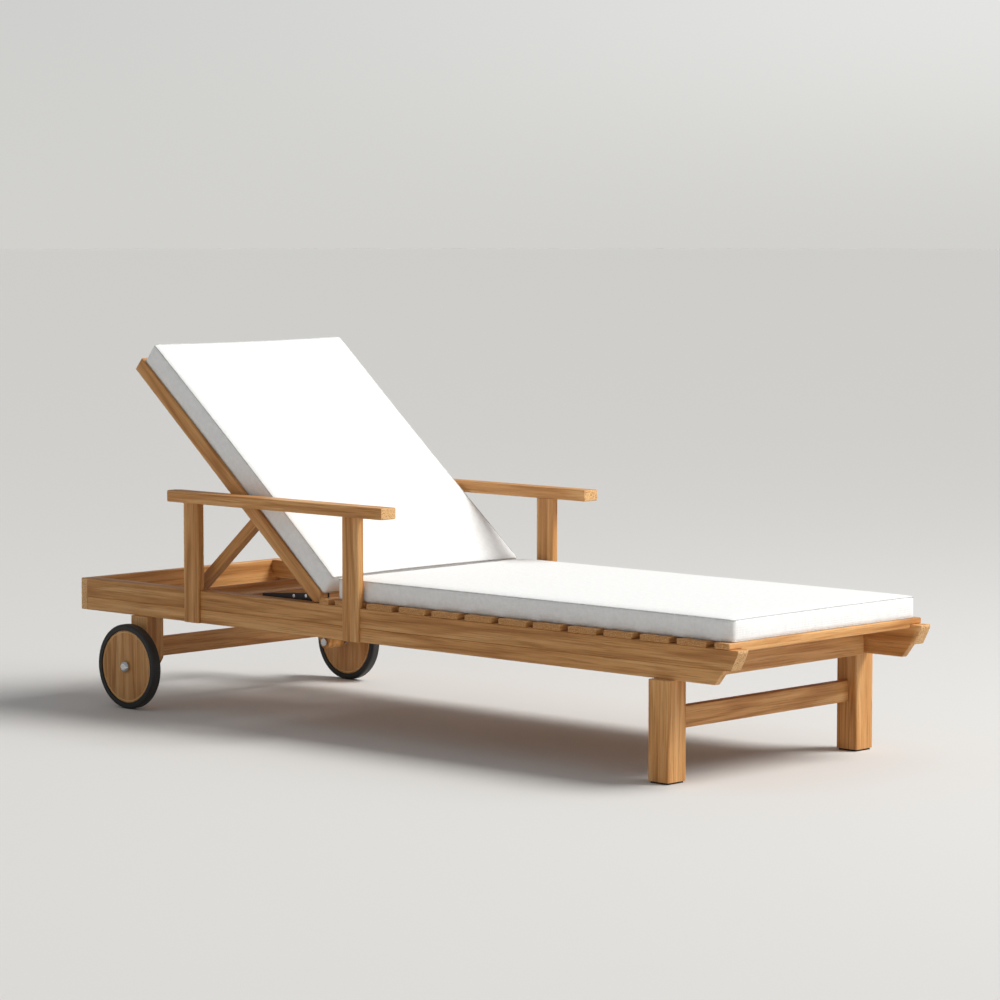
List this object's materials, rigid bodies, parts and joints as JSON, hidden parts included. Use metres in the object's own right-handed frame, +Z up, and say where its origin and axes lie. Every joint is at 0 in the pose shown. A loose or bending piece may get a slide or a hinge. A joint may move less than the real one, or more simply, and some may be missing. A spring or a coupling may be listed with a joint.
{
  "type": "reclining sun lounger",
  "caption": "Low wooden sun lounger on two legs and two wheels, with flat armrests, an adjustable propped backrest, slatted seat and a two-part cushion.",
  "frame": {"origin": "middle of the lounger on the floor", "axes": "+X towards the foot end, +Y to the left side, +Z up"},
  "size_m": [2.05, 0.761, 0.8554],
  "materials": {
    "teak": "oiled, satin",
    "cushion_fabric": "woven, matte",
    "tyre_rubber": "satin",
    "stainless_steel": "polished",
    "black_steel": "powder coated",
    "glide_plastic": "matte"
  },
  "bodies": {
    "frame": {"arm_post_front_left": "teak", "arm_post_front_right": "teak", "arm_post_rear_left": "teak", "arm_post_rear_right": "teak", "armrest_left": "teak", "armrest_right": "teak", "axle_spacer_left": "stainless_steel", "axle_spacer_right": "stainless_steel", "foot_cross_rail": "teak", "foot_leg_left": "teak", "foot_leg_right": "teak", "foot_slat": "teak", "foot_stretcher": "teak", "head_rail": "teak", "hinge_cross_rail": "teak", "hinge_pin_left": "black_steel", "hinge_pin_right": "black_steel", "hinge_plate_left": "black_steel", "hinge_plate_right": "black_steel", "hub_cap_left": "stainless_steel", "hub_cap_right": "stainless_steel", "leg_glides": "glide_plastic", "mid_cross_rail": "teak", "plate_rivets": "stainless_steel", "post_bolts": "black_steel", "prop_cross_rail": "teak", "prop_rack_left": "teak", "prop_rack_right": "teak", "rear_leg_left": "teak", "rear_leg_right": "teak", "rear_stretcher": "teak", "seat_cushion": "cushion_fabric", "seat_slat_rear": "teak", "seat_slats": "teak", "side_apron_left": "teak", "side_apron_right": "teak", "side_rail_left": "teak", "side_rail_right": "teak", "slat_screws": "stainless_steel", "stub_axle_left": "stainless_steel", "stub_axle_right": "stainless_steel"},
    "wheel_left": {"wheel_disc_left": "teak", "tyre_left": "tyre_rubber", "wheel_bush_left": "stainless_steel"},
    "wheel_right": {"wheel_disc_right": "teak", "tyre_right": "tyre_rubber", "wheel_bush_right": "stainless_steel"},
    "backrest": {"backrest_stile_left": "teak", "backrest_stile_right": "teak", "backrest_bottom_rail": "teak", "backrest_top_rail": "teak", "backrest_slats": "teak", "back_cushion": "cushion_fabric", "prop_pin_left": "black_steel", "prop_pin_right": "black_steel", "prop_washer_left": "stainless_steel", "prop_washer_right": "stainless_steel"},
    "prop": {"prop_strut_left": "teak", "prop_strut_right": "teak", "prop_foot_bar": "teak"}
  },
  "joints": [
    {"name": "backrest_recline", "type": "hinge", "parent": "frame", "child": "backrest", "pos_m": [-0.227, 0, 0.3085], "axis": [0, 1, 0], "range_deg": [-40, 19]},
    {"name": "prop_swing", "type": "hinge", "parent": "backrest", "child": "prop", "pos_m": [-0.43897, 0, 0.47592], "axis": [0, -1, 0], "range_deg": [-75.6, 36.02]},
    {"name": "wheel_left_spin", "type": "hinge", "parent": "frame", "child": "wheel_left", "pos_m": [-0.807, 0.36, 0.1], "axis": [0, 1, 0], "continuous": true},
    {"name": "wheel_right_spin", "type": "hinge", "parent": "frame", "child": "wheel_right", "pos_m": [-0.807, -0.36, 0.1], "axis": [0, 1, 0], "continuous": true}
  ],
  "couplings": [
    {"joint": "prop_swing", "follows": "backrest_recline", "ratio": 1.885}
  ]
}
